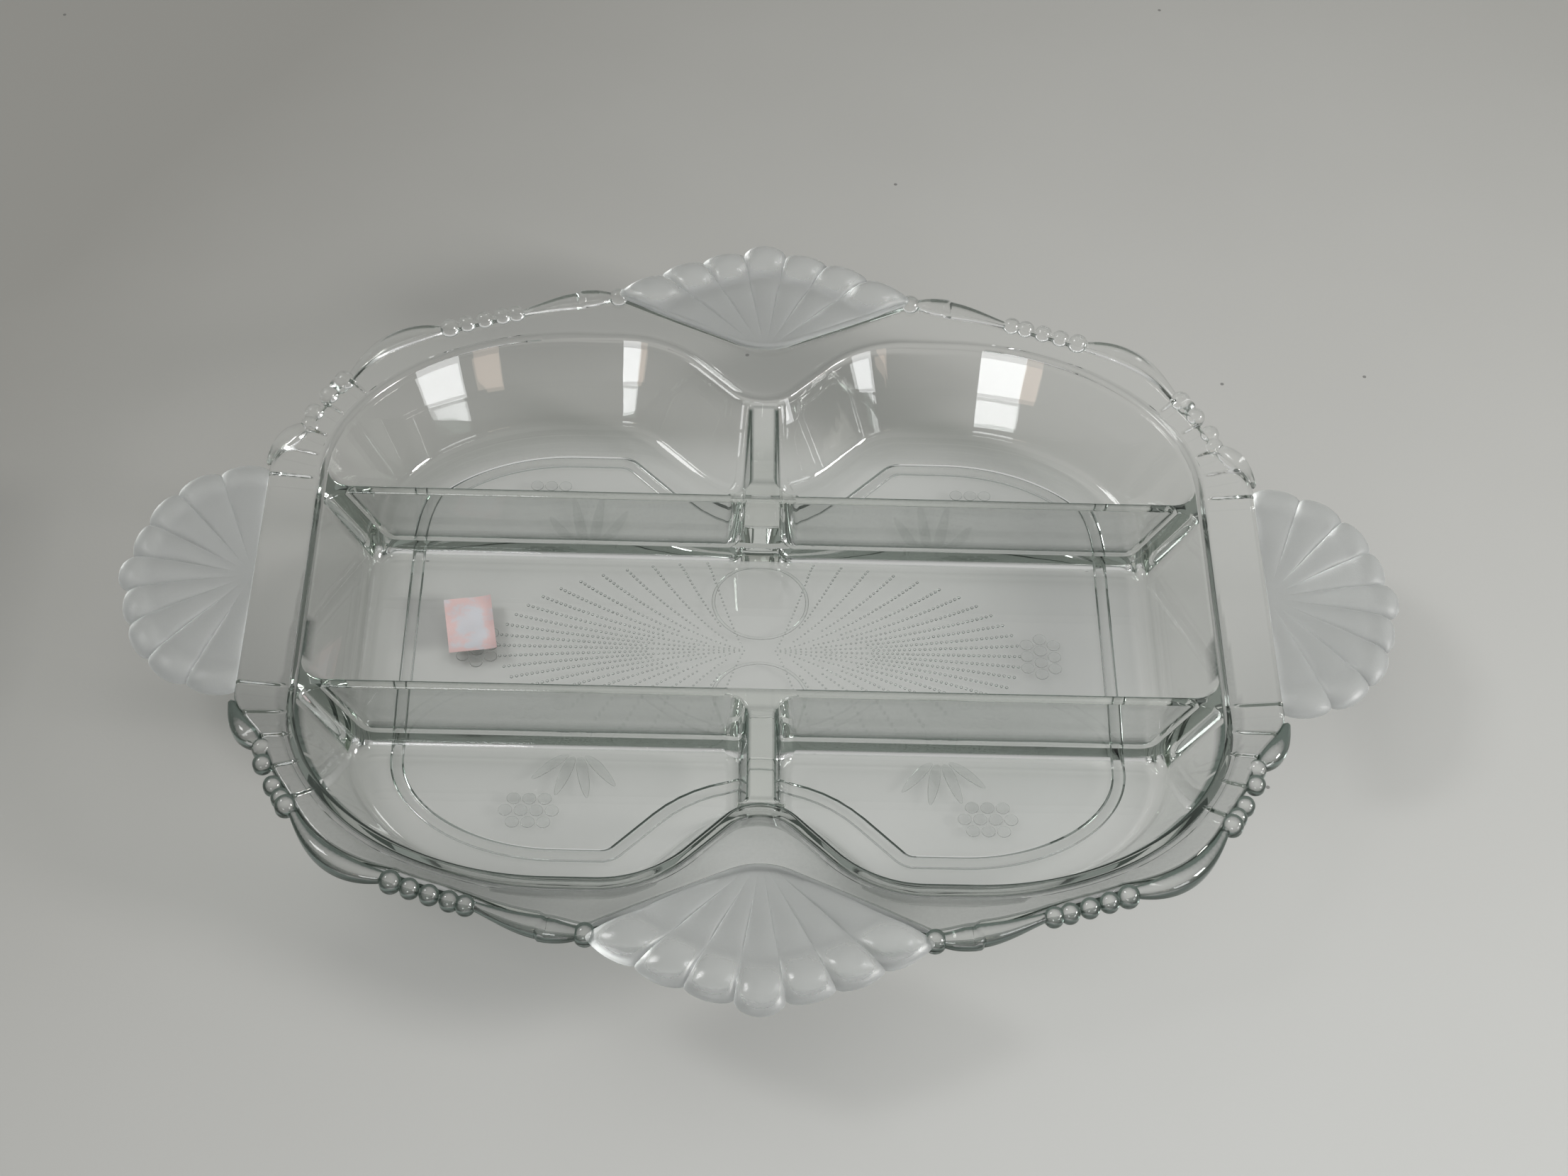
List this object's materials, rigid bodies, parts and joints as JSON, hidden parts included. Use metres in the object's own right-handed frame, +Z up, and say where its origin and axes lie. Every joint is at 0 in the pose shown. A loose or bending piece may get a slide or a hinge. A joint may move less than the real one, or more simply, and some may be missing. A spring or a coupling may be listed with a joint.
{
  "type": "relish tray",
  "caption": "Divided relish tray in clear pressed glass, with a lobed well, a scroll-and-bead rim and satin scallop-shell handles.",
  "frame": {"origin": "on the table, under the middle of the tray", "axes": "+X along the tray to the right, +Y to the back, +Z up"},
  "size_m": [0.336, 0.2592, 0.0326],
  "materials": {
    "clear_glass": "clear",
    "satin_glass": "satin",
    "sticker_paper": "matte"
  },
  "bodies": {
    "root": {"floor_pane": "clear_glass", "foot_ring": "clear_glass", "well_wall": "clear_glass", "rim_flange": "clear_glass", "rear_divider": "clear_glass", "front_divider": "clear_glass", "rear_spine": "clear_glass", "front_spine": "clear_glass", "left_shell": "satin_glass", "right_shell": "satin_glass", "front_shell": "satin_glass", "rear_shell": "satin_glass", "side_scrolls": "clear_glass", "corner_scrolls": "clear_glass", "lobe_scrolls": "clear_glass", "corner_beads": "clear_glass", "cluster_beads": "clear_glass", "scroll_curls": "clear_glass", "sheaf_rays": "clear_glass", "crossing_discs": "clear_glass", "berry_clusters": "clear_glass", "leaf_sprays": "clear_glass", "price_sticker": "sticker_paper"}
  },
  "joints": []
}
